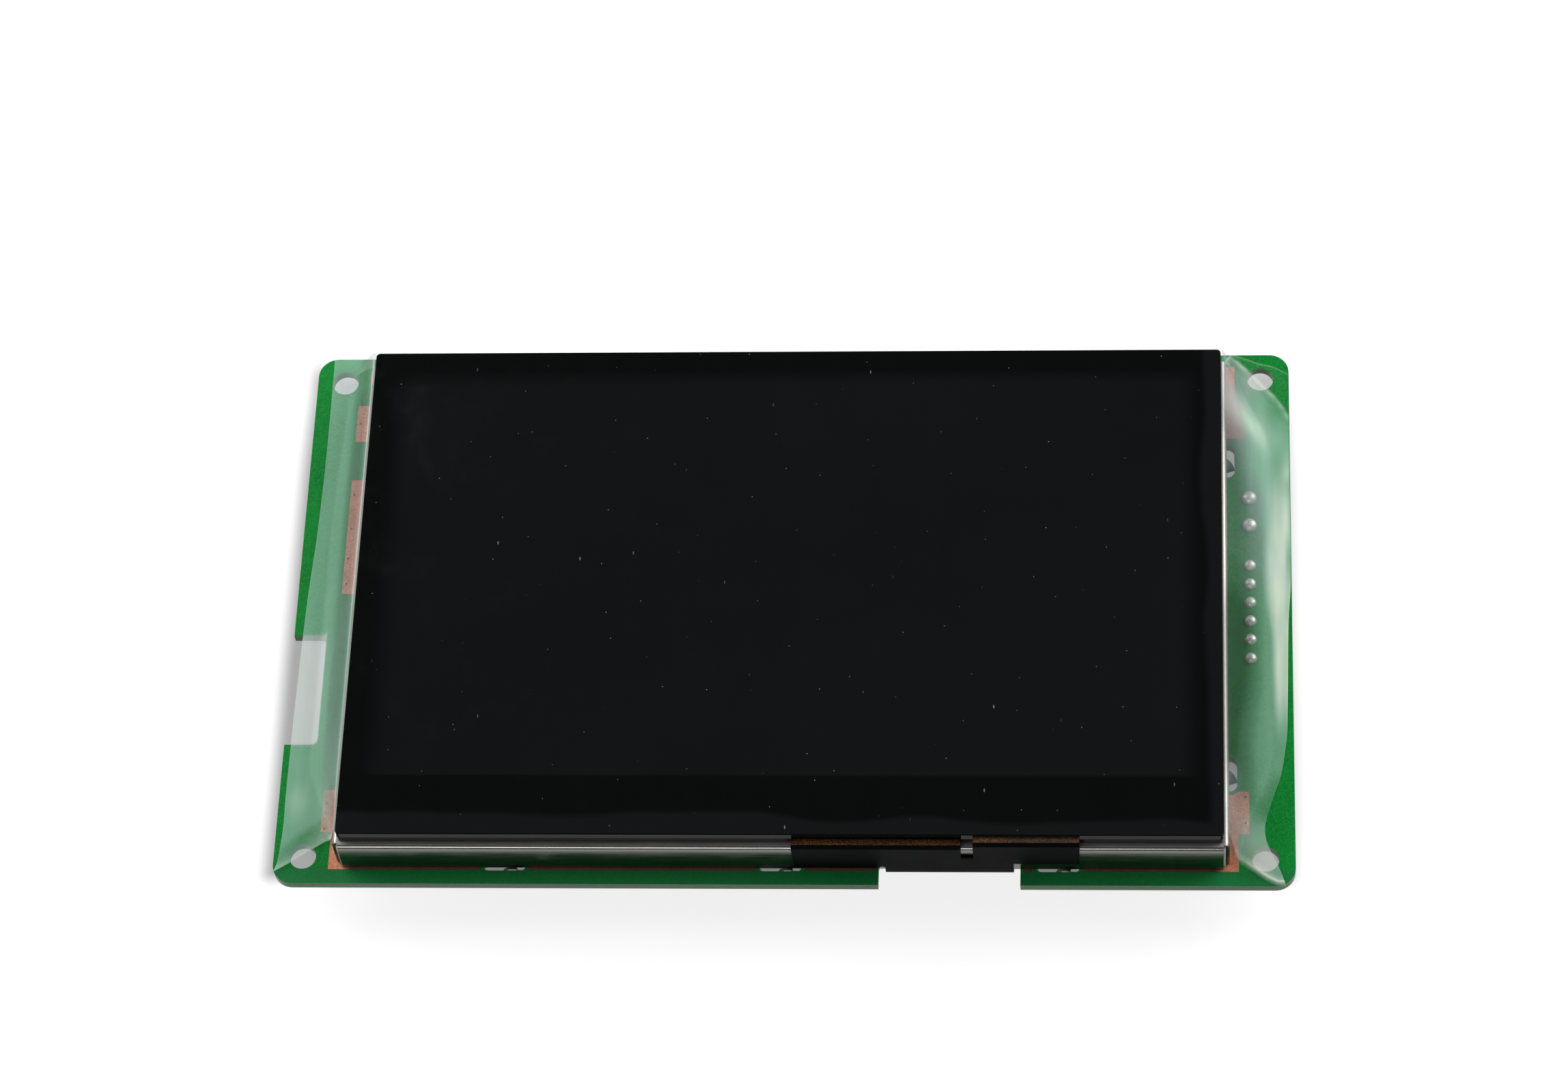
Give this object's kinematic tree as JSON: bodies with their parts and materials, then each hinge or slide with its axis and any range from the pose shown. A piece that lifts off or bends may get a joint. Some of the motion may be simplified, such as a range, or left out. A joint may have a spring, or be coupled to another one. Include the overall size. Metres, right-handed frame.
{
  "type": "tft display module",
  "caption": "Flat colour display module: a glass-fronted panel in a folded steel bezel on a green carrier board with corner holes, flex tails, headers and a clear protective film.",
  "frame": {"origin": "centre of the four mounting holes, on the board's rear face", "axes": "+X along the board's width to the right, +Y along its depth away from the touch tail, +Z out of the display's face"},
  "size_m": [0.121, 0.0726, 0.0158],
  "materials": {
    "solder_mask": "satin green solder mask over glass-epoxy",
    "copper": "bare, slightly dull copper",
    "steel": "bright rolled steel sheet",
    "white_plastic": "matt white moulding",
    "optical_sheet": "translucent white sheet",
    "clear_acrylic": "clear moulded acrylic",
    "lamp": "yellow phosphor over white body",
    "polariser": "dark film",
    "cell_glass": "thin display glass",
    "amber_film": "amber polyimide film",
    "black_film": "black cover film, satin",
    "foam": "black foam tape",
    "sensor_glass": "black-printed glass, glossy",
    "clear_film": "clear polyethylene film",
    "solder": "shiny solder",
    "tinned_metal": "tinned contacts",
    "green_plastic": "moulded plastic",
    "ivory_plastic": "natural nylon",
    "chip_black": "moulded epoxy",
    "crystal_can": "drawn metal can",
    "ferrite": "ferrite grey",
    "can_aluminium": "satin aluminium can",
    "ceramic_tan": "tan ceramic with tinned ends"
  },
  "bodies": {
    "root": {"board": "solder_mask", "contact_pads": "copper", "bezel": "steel", "backlight_frame": "white_plastic", "reflector_sheet": "optical_sheet", "light_guide": "clear_acrylic", "diffuser_sheet": "optical_sheet", "prism_sheet": "optical_sheet", "lamp_strip": "amber_film", "lamps": "lamp", "rear_polariser": "polariser", "array_glass": "cell_glass", "filter_glass": "cell_glass", "front_polariser": "polariser", "driver_chip": "chip_black", "lcd_flex": "amber_film", "touch_gasket": "foam", "touch_sensor": "sensor_glass", "touch_cover": "sensor_glass", "touch_flex": "amber_film", "touch_flex_cover": "black_film", "protective_film": "clear_film", "solder_joints": "solder", "power_header": "green_plastic", "power_pins": "tinned_metal", "signal_header": "ivory_plastic", "signal_pins": "tinned_metal", "cable_header": "ivory_plastic", "cable_pins": "tinned_metal", "lcd_flex_socket": "ivory_plastic", "touch_flex_socket": "ivory_plastic", "socket_contacts": "tinned_metal", "controller_chip": "chip_black", "controller_leads": "tinned_metal", "memory_chip": "chip_black", "crystal": "crystal_can", "power_inductor": "ferrite", "bulk_capacitor": "can_aluminium", "bulk_capacitor_base": "chip_black", "capacitors": "ceramic_tan", "resistors": "chip_black"}
  },
  "joints": []
}
